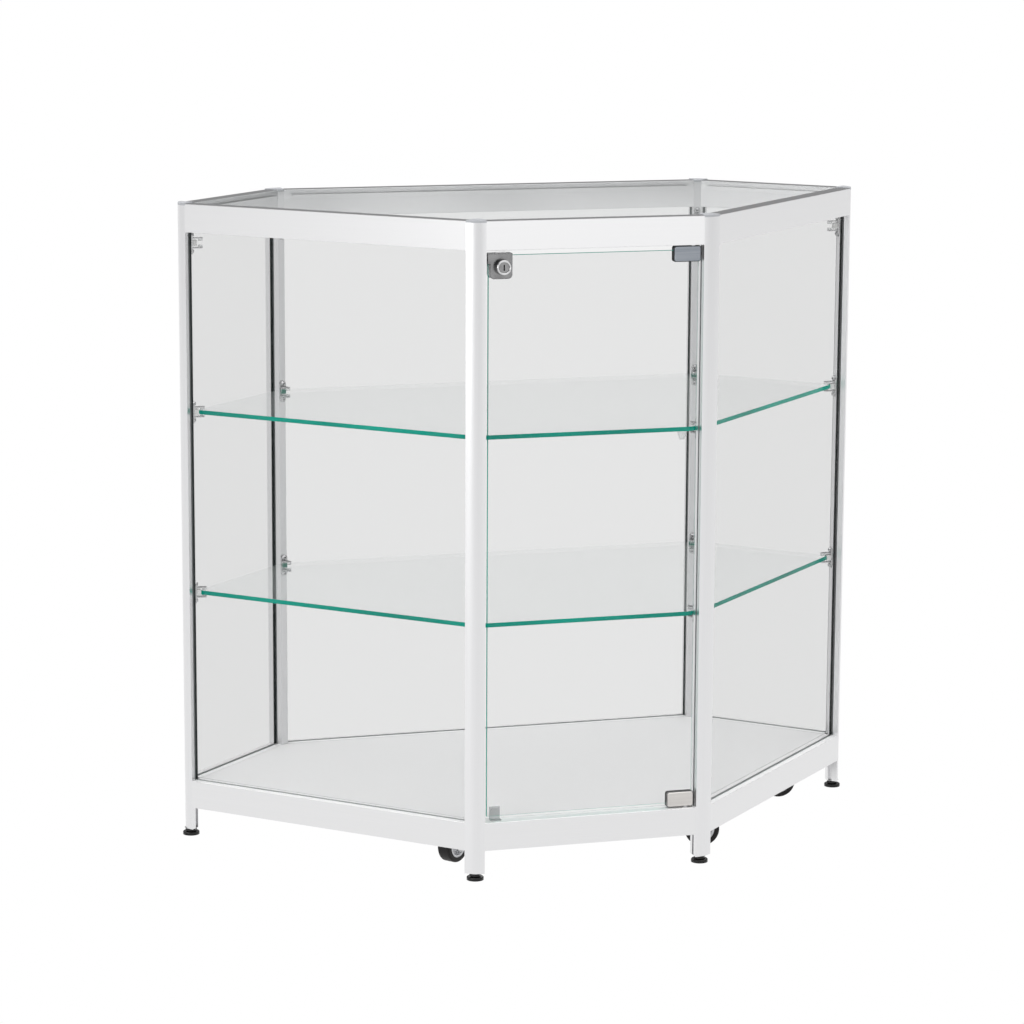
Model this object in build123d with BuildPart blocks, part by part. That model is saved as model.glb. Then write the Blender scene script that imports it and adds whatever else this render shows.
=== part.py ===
"""Six-sided glass corner counter: an aluminium frame with fixed glass sides, a glass door with a lock,
two glass shelves on corner clips, levelling feet and casters.

Millimetres, +Z up, door towards -Y. The origin is on the floor, in the middle of the counter from the
lock's front to the back rails. The plan is a square turned on its corner, with its front and back
corners cut off. Corners and sides are numbered anticlockwise from the left corner: side 0 runs from
corner 0 to corner 1, and the door is side 1.
"""
import os
from math import atan2, cos, degrees, radians, sin, sqrt, tan

from build123d import *

os.makedirs("parts", exist_ok=True)

# ---- overall sizes -------------------------------------------------------------------------------
square_side = 716.0          # the square that the plan is cut from, over the rails' outer faces
front_cut = 236.0            # length cut off each side of the square at its front corner
back_cut = 462.0             # length cut off each side of the square at its back corner
case_height = 900.0          # floor to the top of the rails
leg_clearance = 10.0         # floor to the bottom of the posts
bottom_rail_z = 42.0         # floor to the underside of the bottom rails

# ---- frame sections ------------------------------------------------------------------------------
rail_width = 22.0            # from a rail's outer face inwards
rail_height = 39.0
rail_wall = 1.8
rail_rounding = 0.6
square_post_foot = rail_width    # corner to the rail's end at a 90 degree post
angle_post_foot = 15.0       # corner to the rail's end at a 135 degree post
square_post_depth = 15.0     # side face of a 90 degree post, before its inner flat
glass_line = 11.0            # outer face to the middle of the glass
groove_width = 5.4
post_groove_depth = 5.0
rail_groove_depth = 8.0
lip_width = 8.0              # ledge inside a rail that carries the top glass or the base panel
lip_thickness = 2.0
lip_setback = 12.0           # from the rail's end to the ledge's end
cap_thickness = 3.5
cap_proud = 1.5              # cap's top above the rails
cap_corner = 1.0             # inner corner cut off a 90 degree post's cap
cap_rounding = 0.6
cap_spigot_length = 8.0
cap_spigot_clearance = 0.1

# ---- glass and panels ----------------------------------------------------------------------------
side_glass_thickness = 4.0
top_glass_thickness = 6.0
top_glass_below = 0.5        # glass surface below the rail tops
shelf_thickness = 6.0
door_thickness = 5.0
base_thickness = 14.0
panel_clearance = 0.5
glass_edge_clearance = 1.0   # glass edge to the bottom of its groove
gasket_stands_out = 1.0      # gasket beyond the post's groove
upper_shelf_z = 611.0        # top surface of each shelf
lower_shelf_z = 354.0
shelf_inset = rail_width     # outer face to the shelf's edge
glass_ease = 0.4             # ease on the shelves' and the door's edges

# ---- shelf clips ---------------------------------------------------------------------------------
top_clip_z = 844.5           # middle of the spare clips under the top rails
clip_plate_width = 10.5
clip_plate_height = 32.0
clip_plate_thickness = 2.0
clip_jaw_width = 7.0
clip_jaw_length = 17.0       # from the post's flat
clip_jaw_thickness = 1.5
clip_pad_radius = 3.3
clip_pad_height = 3.0
clip_screw_offset = 11.6     # screw centres above and below the clip's middle
clip_head_radius = 3.5
clip_head_height = 2.2
clip_head_taper = 28.0
clip_shank_radius = 2.0
clip_shank_bite = 4.0        # shank inside the post
corner_block_size = 8.0      # height and width of the white block at a clip
square_block_depth = 6.3     # block's depth at a 90 degree post
angle_block_depth = 1.0      # block's depth at a 135 degree post
block_clearance = 0.2

# ---- door and hinges -----------------------------------------------------------------------------
door_side_gap = 4.9          # glass edge to the post
door_rail_gap = 7.0          # glass edge to the rail
clamp_length = 37.0
clamp_height = 20.0
clamp_depth = 12.0
clamp_rounding = 3.0
clamp_ease = 0.6
clamp_rail_gap = 2.0
clamp_overhang = 2.0         # clamp's end beyond the glass edge
clamp_slot_clearance = 0.1
pivot_inset = 10.0           # clamp's end to the pivot axis
pivot_radius = 3.0
pivot_clearance = 0.05
pivot_bite = 3.6             # pin inside the clamp
pivot_bore_depth = 4.2
pivot_flange_radius = 4.5
pivot_flange_gap = 0.3       # flange to the clamp

# ---- lock ----------------------------------------------------------------------------------------
lock_width = 31.0
lock_height = 34.0
lock_front_depth = 8.0       # housing in front of the glass
lock_back_depth = 3.0        # housing behind the glass
lock_rail_gap = 4.0          # housing's top to the rail
lock_corner = 6.0            # radius of the housing's lower corners
lock_edge = 1.0              # radius around the housing's front
lock_wrap_width = 3.4        # ear around the glass's upright edge
lock_wrap_height = 14.0
barrel_inset = 17.0          # glass edge to the lock barrel's axis
barrel_below = 18.0          # housing's top to the lock barrel's axis
barrel_radius = 10.5
barrel_length = 9.0
barrel_rounding = 1.2
plug_radius = 7.0
plug_clearance = 0.05
plug_recess = 0.6            # plug's face below the barrel's face
key_slot_width = 1.8
key_slot_height = 8.0
key_slot_depth = 9.0
bolt_width = 15.0
bolt_thickness = 3.4
bolt_length = 27.0
bolt_stands_up = 1.5         # bolt above the housing when unlocked
bolt_clearance = 0.3
bolt_travel = 7.0
bolt_from_glass = 1.0        # housing wall between the bolt's pocket and the glass
keeper_clearance = 0.7       # slot in the rail around the bolt
crank_pin_radius = 1.2
crank_pin_length = 2.4
crank_slot_clearance = 0.3

# ---- door stop and clear bumpers -----------------------------------------------------------------
stop_inset = 13.5            # glass edge to the middle of the stop
stop_width = 15.0
stop_height = 18.0
stop_plate = 1.5
stop_foot_length = 10.0
bumper_radius = 6.5
bumper_thickness = 3.0
bumper_gap = 0.1             # bumper to the closed door
cup_top_radius = 8.0
cup_foot_radius = 3.5
cup_height = 13.0
cup_inset = 30.5             # post corner to the cup's axis, along the door
cup_behind = 36.0            # door side's outer face to the cup's axis

# ---- feet ----------------------------------------------------------------------------------------
foot_radius = 11.8
foot_inset = 11.8            # outer faces to the foot's axis
foot_disc_height = 4.5
foot_rounding = 1.6
foot_neck_radius = 6.0
foot_neck_gap = 0.3          # neck to the post's underside
foot_stem_radius = 3.0
foot_stem_length = 34.0
foot_stem_clearance = 0.05

# ---- casters -------------------------------------------------------------------------------------
front_caster_x = 179.0       # front casters' swivel axes from the middle
front_caster_behind = rail_width + 71.0    # door side's outer face to their swivel axes
right_caster_x = 376.0       # right caster's swivel axis, and its place in front of the side corners
right_caster_ahead = 30.0
back_caster_x = 290.0        # back caster's swivel axis, left of the middle
back_caster_inside = 70.0    # back side's outer face to its swivel axis
front_left_heading = 38.0    # from a swivel axis to its wheel, anticlockwise from +X
right_heading = -16.0
back_left_heading = 140.0
wheel_radius = 24.5
wheel_width = 20.0
wheel_floor_gap = 1.0
tyre_rounding = 3.0
hub_radius = 17.5
hub_width = 18.0
hub_rim = 3.0
hub_web = 6.0
hub_boss_radius = 6.5
axle_radius = 3.0
axle_clearance = 0.05
axle_head_radius = 5.0
axle_head_height = 1.6
caster_trail = 14.0
fork_thickness = 2.5
fork_side_gap = 1.5
fork_arm_width = 17.0
fork_crown_gap = 5.0         # wheel to the underside of the crown
fork_crown_front = 13.0      # crown ahead of the swivel axis
fork_corner = 4.0
fork_collar_radius = 10.0
fork_collar_height = 3.0
caster_plate_size = 36.0
caster_plate_thickness = 2.5
caster_plate_corner = 3.0
king_pin_radius = 4.0
king_pin_clearance = 0.05
king_pin_head_radius = 6.0
king_pin_head_height = 2.0
king_pin_head_gap = 0.3

# ---- worked-out places ---------------------------------------------------------------------------
half_diagonal = square_side / sqrt(2)
front_reach = half_diagonal - front_cut / sqrt(2)
back_reach = half_diagonal - back_cut / sqrt(2)
lock_stands_out = lock_front_depth + barrel_length + door_thickness / 2 - glass_line
middle_y = (front_reach + lock_stands_out - back_reach) / 2
door_y = middle_y - front_reach
back_y = middle_y + back_reach
door_half = front_cut / sqrt(2)
back_half = back_cut / sqrt(2)

top_rail_z = case_height - rail_height
bottom_rail_top = bottom_rail_z + rail_height
post_top = case_height + cap_proud - cap_thickness
top_glass_z = case_height - top_glass_below - top_glass_thickness
base_z = bottom_rail_top - base_thickness
door_glass_y = door_y + glass_line
clip_heights = [lower_shelf_z - shelf_thickness / 2, upper_shelf_z - shelf_thickness / 2, top_clip_z]

corner_names = ["left", "front_left", "front_right", "right", "back_right", "back_left"]
side_names = ["left_front", "door", "right_front", "right_back", "back", "left_back"]
corner_points = [
    Vector(-half_diagonal, middle_y),
    Vector(-door_half, door_y),
    Vector(door_half, door_y),
    Vector(half_diagonal, middle_y),
    Vector(back_half, back_y),
    Vector(-back_half, back_y),
]
square_corners = [0, 3]
door_side = 1
corner_count = len(corner_points)
fixed_sides = [side for side in range(corner_count) if side != door_side]


# ---- plan geometry -------------------------------------------------------------------------------
def corner(index):
    """Where the outer faces meet at a corner."""
    return corner_points[index % corner_count]


def along(side):
    """Unit vector along a side."""
    return (corner(side + 1) - corner(side)).normalized()


def inward(side):
    """Unit vector from a side's outer face into the case."""
    return along(side).rotate(Axis.Z, 90)


def side_length(side):
    return (corner(side + 1) - corner(side)).length


def side_point(side, distance, inset, height=0.0):
    """A point at a distance along a side, inset from its outer face."""
    flat = corner(side) + along(side) * distance + inward(side) * inset
    return flat + Vector(0, 0, height)


def from_end(side, distance):
    return side_length(side) - distance


def post_foot(index):
    return square_post_foot if index % corner_count in square_corners else angle_post_foot


def post_depth(index):
    return square_post_depth if index in square_corners else rail_width


def bisector(index):
    """Unit vector from a corner into the case."""
    return (along(index) - along(index - 1)).normalized()


def half_angle(index):
    return radians(along(index).get_angle(bisector(index)))


def flat_distance(index):
    """From a corner to its post's inner flat, along the bisector."""
    half = half_angle(index)
    return post_foot(index) * cos(half) + post_depth(index) * sin(half)


def section_plane(side, distance):
    """Plane across a side: x runs inwards and y runs up."""
    return Plane(origin=side_point(side, distance, 0), x_dir=inward(side), z_dir=along(side))


def flat_plane(index, height, stand_off=0.0):
    """Plane on a post's inner flat: x runs across it, y runs up and z runs into the case."""
    inwards = bisector(index)
    origin = corner(index) + inwards * (flat_distance(index) + stand_off) + Vector(0, 0, height)
    return Plane(origin=origin, x_dir=Vector(0, 0, 1).cross(inwards), z_dir=inwards)


def clip_planes(stand_off=0.0, indices=range(corner_count)):
    return [flat_plane(index, height, stand_off) for index in indices for height in clip_heights]


def panel_points(inset, square_gap, angle_gap):
    """Corners of a panel inset from the sides, cut short of each post's inner flat by a gap."""
    points = []
    for index in range(corner_count):
        half = half_angle(index)
        gap = square_gap if index in square_corners else angle_gap
        reach = flat_distance(index) + gap
        if reach * sin(half) <= inset:
            points.append(side_point(index, inset / tan(half), inset))
        else:
            step = (reach - inset * sin(half)) / cos(half)
            points.append(side_point(index - 1, from_end(index - 1, step), inset))
            points.append(side_point(index, step, inset))
    return points


def foot_point(index):
    return side_point(index, foot_inset / tan(half_angle(index)), foot_inset)


def save(part, name):
    part.label = name
    export_step(part, f"parts/{name}.step")


# ---- posts and caps ------------------------------------------------------------------------------
def post_points(index, depth):
    """A post's outline: its arc's start and end between the rails, then its inner flat's ends."""
    foot = post_foot(index)
    before = index - 1
    far = from_end(before, foot)
    return [
        side_point(before, far, 0),
        side_point(index, foot, 0),
        side_point(index, foot, depth),
        side_point(before, far, depth),
    ]


def groove_locations(index):
    """Middles of a post's two glass grooves, turned along their sides."""
    middle = post_foot(index) - post_groove_depth / 2
    places = [(index, middle), (index - 1, from_end(index - 1, middle))]
    angles = [degrees(atan2(along(side).Y, along(side).X)) for side, _ in places]
    points = [side_point(side, distance, glass_line) for side, distance in places]
    return [Location(point, (0, 0, angle)) for point, angle in zip(points, angles)]


def make_post(index):
    screw_places = [(0, clip_screw_offset), (0, -clip_screw_offset)]
    start, end, inner_end, inner_start = post_points(index, post_depth(index))
    with BuildPart() as post:
        with BuildSketch(Plane.XY.offset(leg_clearance)):
            with BuildLine():
                TangentArc(start, end, tangent=along(index - 1))
                Polyline(end, inner_end, inner_start, start)
            make_face()
            with Locations(*groove_locations(index)):
                Rectangle(post_groove_depth, groove_width, mode=Mode.SUBTRACT)
            with Locations(foot_point(index)):
                Circle(foot_stem_radius + foot_stem_clearance, mode=Mode.SUBTRACT)
        extrude(amount=post_top - leg_clearance)
        with BuildSketch(*clip_planes(indices=[index])):
            with Locations(*screw_places):
                Circle(clip_shank_radius)
        extrude(amount=-clip_shank_bite, mode=Mode.SUBTRACT)
    save(post.part, f"post_{corner_names[index]}")


def make_post_caps():
    spigot_radius = foot_stem_radius + foot_stem_clearance - cap_spigot_clearance
    with BuildPart() as caps:
        for index in range(corner_count):
            depth = rail_width - (cap_corner if index in square_corners else 0)
            start, end, inner_end, inner_start = post_points(index, depth)
            with BuildSketch(Plane.XY.offset(post_top)):
                with BuildLine():
                    TangentArc(start, end, tangent=along(index - 1))
                    Polyline(end, inner_end, inner_start, start)
                make_face()
            extrude(amount=cap_thickness)
        fillet(caps.faces().group_by(Axis.Z)[-1].edges(), cap_rounding)
        with BuildSketch(Plane.XY.offset(post_top)):
            with Locations(*[foot_point(index) for index in range(corner_count)]):
                Circle(spigot_radius)
        extrude(amount=-cap_spigot_length)
    save(caps.part, "post_caps")


# ---- rails ---------------------------------------------------------------------------------------
def make_rail(name, side, low, groove_up, lip_top):
    """A hollow rail between two posts, with a ledge inside; a fixed side's rail has a glass groove."""
    start = post_foot(side)
    length = side_length(side) - start - post_foot(side + 1)
    groove = rail_groove_depth if side != door_side else 0
    chamber = rail_height - 2 * rail_wall - groove
    chamber_low = low + rail_wall + (0 if groove_up else groove)
    groove_low = low + rail_height - groove if groove_up else low
    wall_low = low + rail_height - rail_wall if groove_up else low
    with BuildPart() as rail:
        with BuildSketch(section_plane(side, start)):
            with Locations((rail_width / 2, low + rail_height / 2)):
                RectangleRounded(rail_width, rail_height, rail_rounding)
            with Locations((rail_width / 2, chamber_low + chamber / 2)):
                Rectangle(rail_width - 2 * rail_wall, chamber, mode=Mode.SUBTRACT)
            if groove:
                with Locations((glass_line, groove_low + groove / 2)):
                    Rectangle(groove_width, groove, mode=Mode.SUBTRACT)
        extrude(amount=length)
        with BuildSketch(section_plane(side, start + lip_setback)):
            with Locations((rail_width + lip_width / 2, lip_top - lip_thickness / 2)):
                Rectangle(lip_width, lip_thickness)
        extrude(amount=length - 2 * lip_setback)
        if side == door_side:
            with BuildSketch(Plane.XY.offset(wall_low)):
                with Locations((pivot_x, door_glass_y)):
                    Circle(pivot_radius)
                if not groove_up:
                    with Locations((bolt_x, bolt_y)):
                        Rectangle(bolt_width + 2 * keeper_clearance, bolt_thickness + 2 * keeper_clearance)
            extrude(amount=rail_wall, mode=Mode.SUBTRACT)
    save(rail.part, f"{name}_{side_names[side]}")


# ---- glass, panels and gaskets -------------------------------------------------------------------
def make_side_glass(side):
    """Fixed glass, let into the grooves of two posts and two rails."""
    into_post = post_groove_depth - glass_edge_clearance
    into_rail = rail_groove_depth - glass_edge_clearance
    start = post_foot(side) - into_post
    end = from_end(side, post_foot(side + 1) - into_post)
    low = bottom_rail_top - into_rail
    high = top_rail_z + into_rail
    with BuildPart() as glass:
        with BuildSketch(section_plane(side, start)):
            with Locations((glass_line, (low + high) / 2)):
                Rectangle(side_glass_thickness, high - low)
        extrude(amount=end - start)
    save(glass.part, f"side_glass_{side_names[side]}")


def make_gaskets():
    """Rubber strips on both faces of each fixed glass, in the posts' grooves."""
    strip = (groove_width - side_glass_thickness) / 2
    reach = post_groove_depth + gasket_stands_out
    shift = (side_glass_thickness + strip) / 2
    with BuildPart() as gaskets:
        for side in fixed_sides:
            starts = [
                post_foot(side) - post_groove_depth,
                from_end(side, post_foot(side + 1) + gasket_stands_out),
            ]
            for start in starts:
                with BuildSketch(section_plane(side, start)):
                    with Locations((glass_line - shift, (bottom_rail_top + top_rail_z) / 2),
                                   (glass_line + shift, (bottom_rail_top + top_rail_z) / 2)):
                        Rectangle(strip, top_rail_z - bottom_rail_top)
                extrude(amount=reach)
    save(gaskets.part, "gaskets")


def make_panel(name, low, thickness, inset, square_gap, angle_gap, ease=0.0):
    """A flat six-sided panel, with its cut corners facing the posts and its edges eased."""
    with BuildPart() as panel:
        with BuildSketch(Plane.XY.offset(low)):
            with BuildLine():
                Polyline(*panel_points(inset, square_gap, angle_gap), close=True)
            make_face()
        extrude(amount=thickness)
        if ease:
            chamfer(panel.faces().filter_by(Axis.Z).edges(), ease)
    save(panel.part, name)


def make_panels():
    rail_inset = rail_width + panel_clearance
    shelf_gaps = [
        clip_plate_thickness + square_block_depth + block_clearance,
        clip_plate_thickness + angle_block_depth + block_clearance,
    ]
    make_panel("top_glass", top_glass_z, top_glass_thickness, rail_inset, panel_clearance,
               panel_clearance)
    make_panel("base_panel", base_z, base_thickness, rail_inset, panel_clearance, panel_clearance)
    for name, top in [("shelf_upper", upper_shelf_z), ("shelf_lower", lower_shelf_z)]:
        make_panel(name, top - shelf_thickness, shelf_thickness, shelf_inset, *shelf_gaps, glass_ease)


# ---- shelf clips ---------------------------------------------------------------------------------
def level_planes(height):
    """Level planes at a height from each clip's middle: x runs from the post's flat into the case."""
    planes = []
    for index in range(corner_count):
        flat = corner(index) + bisector(index) * flat_distance(index)
        for middle in clip_heights:
            origin = flat + Vector(0, 0, middle + height)
            planes.append(Plane(origin=origin, x_dir=bisector(index), z_dir=(0, 0, 1)))
    return planes


def make_clip_plates():
    """Oval plates on the posts' inner flats, each with two jaws that reach over and under a shelf."""
    jaw_low = shelf_thickness / 2 + clip_pad_height
    tip_radius = clip_jaw_width / 2
    straight = clip_jaw_length - tip_radius
    with BuildPart() as plates:
        with BuildSketch(*clip_planes()):
            SlotOverall(clip_plate_height, clip_plate_width, rotation=90)
            with Locations((0, clip_screw_offset), (0, -clip_screw_offset)):
                Circle(clip_shank_radius, mode=Mode.SUBTRACT)
        extrude(amount=clip_plate_thickness)
        with BuildSketch(*level_planes(jaw_low), *level_planes(-jaw_low - clip_jaw_thickness)):
            with Locations((straight / 2, 0)):
                Rectangle(straight, clip_jaw_width)
            with Locations((straight, 0)):
                Circle(tip_radius)
        extrude(amount=clip_jaw_thickness)
    save(plates.part, "clip_plates")


def make_clip_pads():
    """Clear round pads between the jaws and the shelf."""
    under_shelf = -shelf_thickness / 2 - clip_pad_height
    with BuildPart() as pads:
        with BuildSketch(*level_planes(shelf_thickness / 2), *level_planes(under_shelf)):
            with Locations((clip_jaw_length - clip_pad_radius, 0)):
                Circle(clip_pad_radius)
        extrude(amount=clip_pad_height)
    save(pads.part, "clip_pads")


def make_clip_blocks():
    """White blocks between the clips' plates and the shelves' corners."""
    angle_corners = [index for index in range(corner_count) if index not in square_corners]
    groups = [(square_corners, square_block_depth), (angle_corners, angle_block_depth)]
    with BuildPart() as blocks:
        for indices, depth in groups:
            with BuildSketch(*clip_planes(clip_plate_thickness, indices)):
                Rectangle(corner_block_size, corner_block_size)
            extrude(amount=depth)
    save(blocks.part, "clip_blocks")


def make_clip_screws():
    places = [(0, clip_screw_offset), (0, -clip_screw_offset)]
    with BuildPart() as screws:
        with BuildSketch(*clip_planes(clip_plate_thickness)):
            with Locations(*places):
                Circle(clip_head_radius)
        extrude(amount=clip_head_height, taper=clip_head_taper)
        with BuildSketch(*clip_planes(clip_plate_thickness)):
            with Locations(*places):
                Circle(clip_shank_radius)
        extrude(amount=-clip_plate_thickness - clip_shank_bite)
    save(screws.part, "clip_screws")


# ---- door ----------------------------------------------------------------------------------------
door_left = -door_half + angle_post_foot + door_side_gap
door_right = -door_left
door_low = bottom_rail_top + door_rail_gap
door_high = top_rail_z - door_rail_gap
door_plane = Plane(origin=(0, door_glass_y, 0), x_dir=(1, 0, 0), z_dir=(0, -1, 0))
clamp_right = door_right + clamp_overhang
pivot_x = clamp_right - pivot_inset
clamp_top = top_rail_z - clamp_rail_gap
clamp_bottom = bottom_rail_top + clamp_rail_gap


def draw_door_outline(clearance=0.0):
    with Locations((0, (door_low + door_high) / 2)):
        Rectangle(door_right - door_left + 2 * clearance, door_high - door_low + 2 * clearance)


def make_door_glass():
    with BuildPart() as glass:
        with BuildSketch(door_plane):
            draw_door_outline()
        extrude(amount=door_thickness / 2, both=True)
        chamfer(glass.faces().filter_by(Axis.Y).edges(), glass_ease)
    save(glass.part, "door_glass")


def make_hinge_clamps():
    """Two blocks that grip the door's upper and lower hinge corners, bored for the pivots."""
    middle_x = clamp_right - clamp_length / 2
    with BuildPart() as clamps:
        with BuildSketch(door_plane):
            with Locations((middle_x, clamp_top - clamp_height / 2),
                           (middle_x, clamp_bottom + clamp_height / 2)):
                RectangleRounded(clamp_length, clamp_height, clamp_rounding)
        extrude(amount=clamp_depth / 2, both=True)
        chamfer(clamps.faces().filter_by(Plane.XZ).edges(), clamp_ease)
        with BuildSketch(door_plane):
            draw_door_outline(clamp_slot_clearance)
        extrude(amount=door_thickness / 2 + clamp_slot_clearance, both=True, mode=Mode.SUBTRACT)
        for height, depth in [(clamp_top, -pivot_bore_depth), (clamp_bottom, pivot_bore_depth)]:
            with BuildSketch(Plane.XY.offset(height)):
                with Locations((pivot_x, door_glass_y)):
                    Circle(pivot_radius + pivot_clearance)
            extrude(amount=depth, mode=Mode.SUBTRACT)
    save(clamps.part, "hinge_clamps")


def make_hinge_pivots():
    """A flanged pin in each door rail, on the door's axis."""
    flange = clamp_rail_gap - pivot_flange_gap
    with BuildPart() as pivots:
        for face, into_door in [(top_rail_z, -1), (bottom_rail_top, 1)]:
            with BuildSketch(Plane.XY.offset(face)):
                with Locations((pivot_x, door_glass_y)):
                    Circle(pivot_flange_radius)
            extrude(amount=into_door * flange)
            with BuildSketch(Plane.XY.offset(face - into_door * rail_wall)):
                with Locations((pivot_x, door_glass_y)):
                    Circle(pivot_radius)
            extrude(amount=into_door * (rail_wall + clamp_rail_gap + pivot_bite))
    save(pivots.part, "hinge_pivots")


# ---- lock ----------------------------------------------------------------------------------------
glass_front = door_glass_y - door_thickness / 2
glass_back = door_glass_y + door_thickness / 2
lock_top = top_rail_z - lock_rail_gap
lock_front = glass_front - lock_front_depth
lock_back = glass_back + lock_back_depth
barrel_x = door_left + barrel_inset
barrel_z = lock_top - barrel_below
bolt_x = door_left + lock_width / 2
bolt_y = glass_front - bolt_from_glass - bolt_clearance - bolt_thickness / 2
bolt_front = bolt_y - bolt_thickness / 2
bolt_low = lock_top + bolt_stands_up - bolt_length
crank_radius = bolt_travel / sqrt(2)
crank_x = barrel_x + crank_radius / sqrt(2)
crank_z = barrel_z - crank_radius / sqrt(2)


def facing_plane(depth):
    """Upright plane at a depth, facing out of the door: x runs right and y runs up."""
    return Plane(origin=(0, depth, 0), x_dir=(1, 0, 0), z_dir=(0, -1, 0))


def make_lock_body():
    """Housing clamped over the door's free upper corner, with the lock's barrel."""
    pocket_height = bolt_length - bolt_stands_up + bolt_clearance
    with BuildPart() as body:
        with BuildSketch(facing_plane(lock_back)) as face:
            with Locations((door_left + lock_width / 2, lock_top - lock_height / 2)):
                Rectangle(lock_width, lock_height)
            fillet(face.vertices().group_by(Axis.Y)[0], lock_corner)
            with Locations((door_left - lock_wrap_width / 2, lock_top - lock_wrap_height / 2)):
                Rectangle(lock_wrap_width, lock_wrap_height)
        extrude(amount=lock_back - lock_front)
        fillet(body.faces().sort_by(Axis.Y)[0].edges(), lock_edge)
        with BuildSketch(facing_plane(lock_front)):
            with Locations((barrel_x, barrel_z)):
                Circle(barrel_radius)
        extrude(amount=barrel_length)
        fillet(body.faces().sort_by(Axis.Y)[0].edges(), barrel_rounding)
        with BuildSketch(door_plane):
            draw_door_outline(clamp_slot_clearance)
        extrude(amount=door_thickness / 2 + clamp_slot_clearance, both=True, mode=Mode.SUBTRACT)
        with BuildSketch(facing_plane(bolt_y)):
            with Locations((bolt_x, lock_top - pocket_height / 2)):
                Rectangle(bolt_width + 2 * bolt_clearance, pocket_height)
        extrude(amount=bolt_thickness / 2 + bolt_clearance, both=True, mode=Mode.SUBTRACT)
        with BuildSketch(facing_plane(bolt_y)):
            with Locations((barrel_x, barrel_z)):
                Circle(plug_radius + plug_clearance)
        extrude(amount=bolt_y - lock_front + barrel_length, mode=Mode.SUBTRACT)
    save(body.part, "lock_body")


def make_lock_plug():
    """Turning plug with a key slot and a crank pin that lifts the bolt."""
    plug_back = bolt_front - bolt_clearance
    plug_front = lock_front - barrel_length + plug_recess
    with BuildPart() as plug:
        with BuildSketch(facing_plane(plug_back)):
            with Locations((barrel_x, barrel_z)):
                Circle(plug_radius)
        extrude(amount=plug_back - plug_front)
        with BuildSketch(facing_plane(plug_front)):
            with Locations((barrel_x, barrel_z)):
                Rectangle(key_slot_width, key_slot_height)
        extrude(amount=-key_slot_depth, mode=Mode.SUBTRACT)
        with BuildSketch(facing_plane(plug_back)):
            with Locations((crank_x, crank_z)):
                Circle(crank_pin_radius)
        extrude(amount=-crank_pin_length)
    save(plug.part, "lock_plug")


def make_lock_bolt():
    """Flat bolt with a level slot for the crank pin; it rises into the top rail."""
    swing = crank_radius - crank_radius / sqrt(2)
    slot_height = 2 * (crank_pin_radius + crank_slot_clearance)
    with BuildPart() as bolt:
        with BuildSketch(facing_plane(bolt_y)):
            with Locations((bolt_x, bolt_low + bolt_length / 2)):
                Rectangle(bolt_width, bolt_length)
            with Locations((crank_x + swing / 2, crank_z)):
                Rectangle(slot_height + swing, slot_height, mode=Mode.SUBTRACT)
        extrude(amount=bolt_thickness / 2, both=True)
    save(bolt.part, "lock_bolt")


# ---- door stop and clear bumpers -----------------------------------------------------------------
stop_x = door_left + stop_inset
bumper_front = glass_back + bumper_gap
stop_front = bumper_front + bumper_thickness
stop_rear = stop_front + stop_plate


def make_door_stop():
    """Small angle on the bottom rail, behind the door's free lower corner."""
    foot_start = stop_rear - stop_foot_length
    with BuildPart() as stop:
        with BuildSketch(Plane(origin=(stop_x, 0, 0), x_dir=(0, 1, 0), z_dir=(1, 0, 0))):
            with BuildLine():
                Polyline(
                    (foot_start, bottom_rail_top),
                    (stop_rear, bottom_rail_top),
                    (stop_rear, bottom_rail_top + stop_height),
                    (stop_front, bottom_rail_top + stop_height),
                    (stop_front, bottom_rail_top + stop_plate),
                    (foot_start, bottom_rail_top + stop_plate),
                    close=True,
                )
            make_face()
        extrude(amount=stop_width / 2, both=True)
    save(stop.part, "door_stop")


def make_clear_bumpers():
    """A disc on the door stop, and a cup under the upper shelf near the hinge side."""
    cup_x = door_half - cup_inset
    cup_top = upper_shelf_z - shelf_thickness
    taper = degrees(atan2(cup_top_radius - cup_foot_radius, cup_height))
    with BuildPart() as bumpers:
        with BuildSketch(facing_plane(stop_front)):
            with Locations((stop_x, bottom_rail_top + stop_height - bumper_radius)):
                Circle(bumper_radius)
        extrude(amount=bumper_thickness)
        with BuildSketch(Plane(origin=(cup_x, door_y + cup_behind, cup_top), z_dir=(0, 0, -1))):
            Circle(cup_top_radius)
        extrude(amount=cup_height, taper=taper)
    save(bumpers.part, "clear_bumpers")


# ---- feet ----------------------------------------------------------------------------------------
def make_foot(index):
    """Levelling foot: a round pad, a neck under the post and a stem inside it."""
    with BuildPart() as foot:
        with BuildSketch(Plane.XY):
            with Locations(foot_point(index)):
                Circle(foot_radius)
        extrude(amount=foot_disc_height)
        fillet(foot.edges().group_by(Axis.Z)[-1], foot_rounding)
        with BuildSketch(Plane.XY.offset(foot_disc_height)):
            with Locations(foot_point(index)):
                Circle(foot_neck_radius)
        extrude(amount=leg_clearance - foot_neck_gap - foot_disc_height)
        with BuildSketch(Plane.XY.offset(leg_clearance - foot_neck_gap)):
            with Locations(foot_point(index)):
                Circle(foot_stem_radius)
        extrude(amount=foot_stem_length)
    save(foot.part, f"foot_{corner_names[index]}")


# ---- casters -------------------------------------------------------------------------------------
wheel_z = wheel_floor_gap + wheel_radius
crown_z = wheel_z + wheel_radius + fork_crown_gap
arm_inside = wheel_width / 2 + fork_side_gap
arm_outside = arm_inside + fork_thickness
plate_z = base_z - caster_plate_thickness

# name, swivel axis and heading
casters = [
    ("front_left", (-front_caster_x, door_y + front_caster_behind), front_left_heading),
    ("front_right", (front_caster_x, door_y + front_caster_behind), right_heading),
    ("right", (right_caster_x, middle_y - right_caster_ahead), right_heading),
    ("back_left", (-back_caster_x, back_y - back_caster_inside), back_left_heading),
]


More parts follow.
